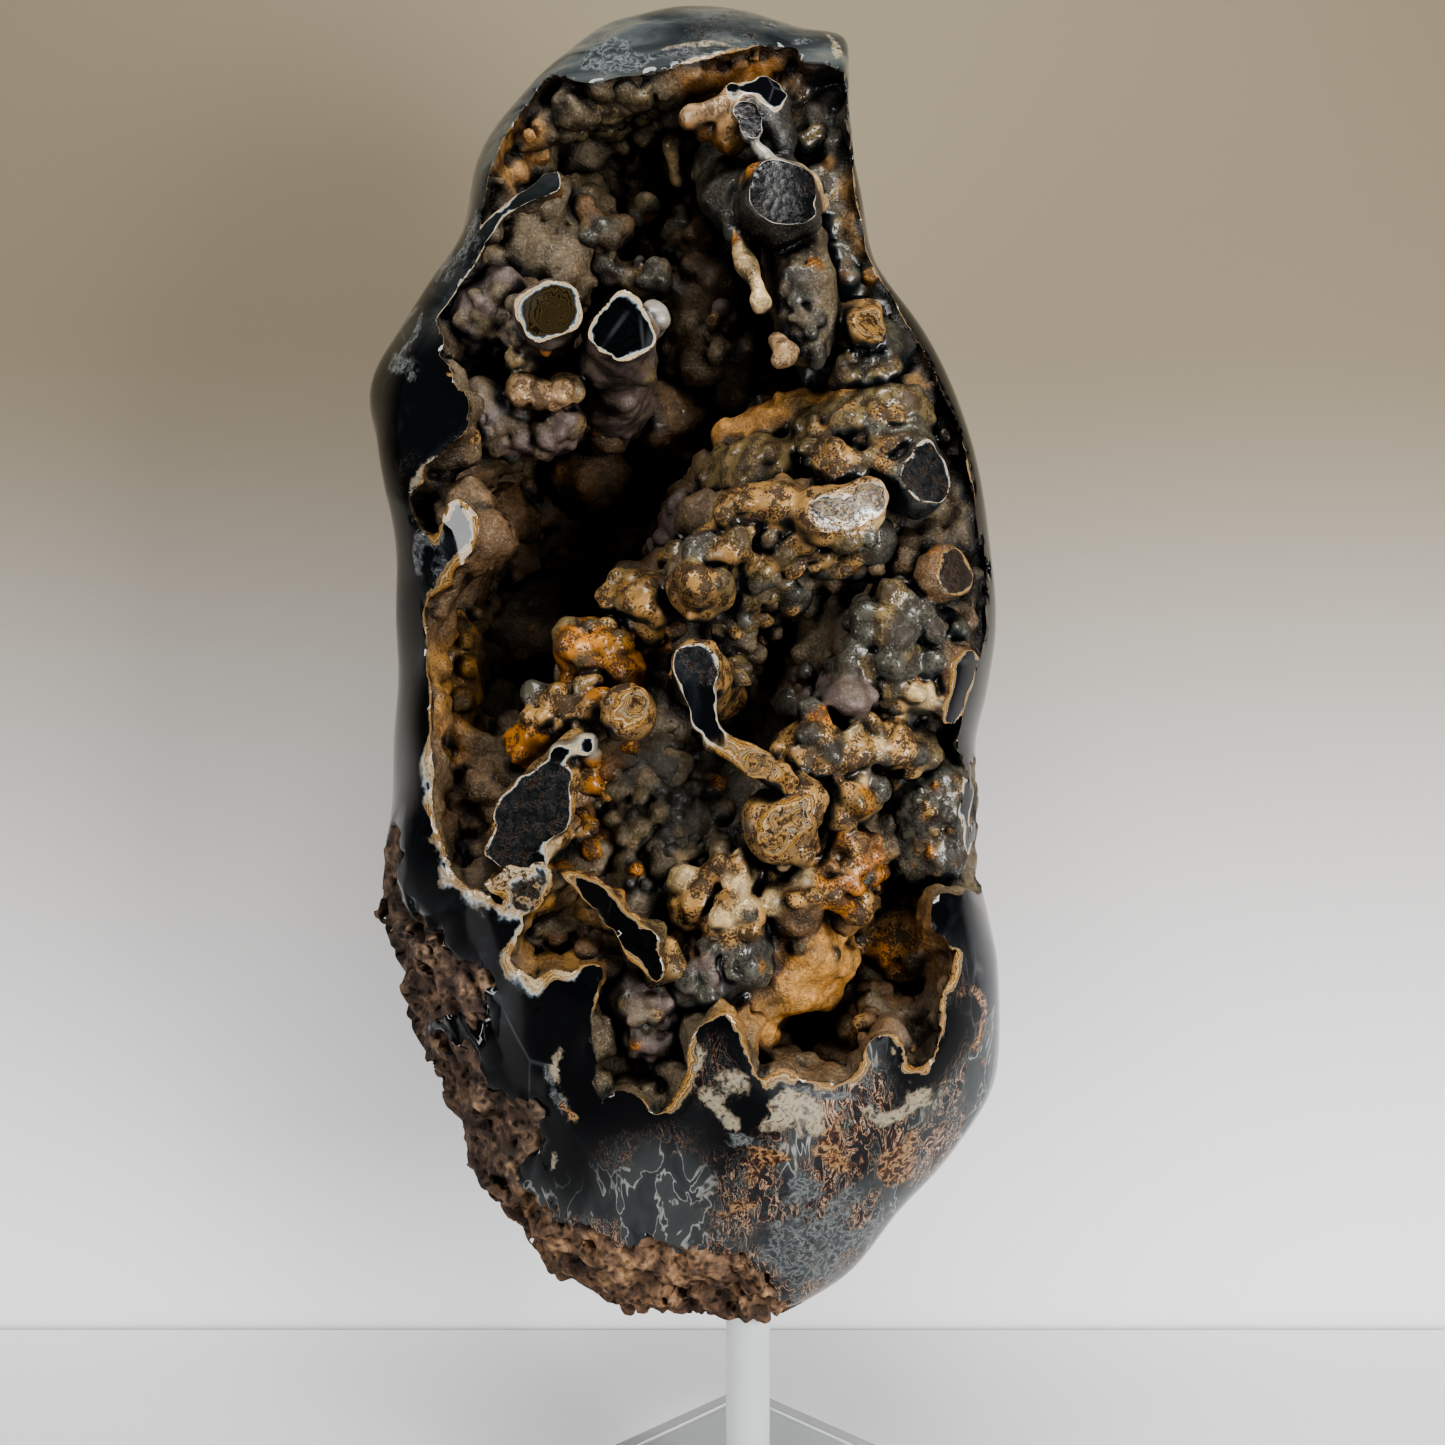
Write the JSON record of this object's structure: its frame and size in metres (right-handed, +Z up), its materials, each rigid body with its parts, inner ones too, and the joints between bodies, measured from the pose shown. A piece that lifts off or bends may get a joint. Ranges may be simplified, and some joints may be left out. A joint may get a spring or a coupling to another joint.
{
  "type": "agate specimen on stand",
  "caption": "Tall hollow agate with a polished outside and a botryoidal interior, upright on a frosted rod in a clear square plate.",
  "frame": {"origin": "on the axis of the rod, at the underside of the plate", "axes": "+Z up along the rod, -Y towards the open front of the stone, +X to the right seen from the front"},
  "size_m": [0.1854, 0.1698, 0.4207],
  "materials": {
    "agate": "polished outside, rough crust and sparkling walls inside",
    "frosted_acrylic": "frosted",
    "clear_acrylic": "clear, polished"
  },
  "bodies": {
    "root": {"agate_stone": "agate", "acrylic_rod": "frosted_acrylic", "acrylic_plate": "clear_acrylic"}
  },
  "joints": []
}
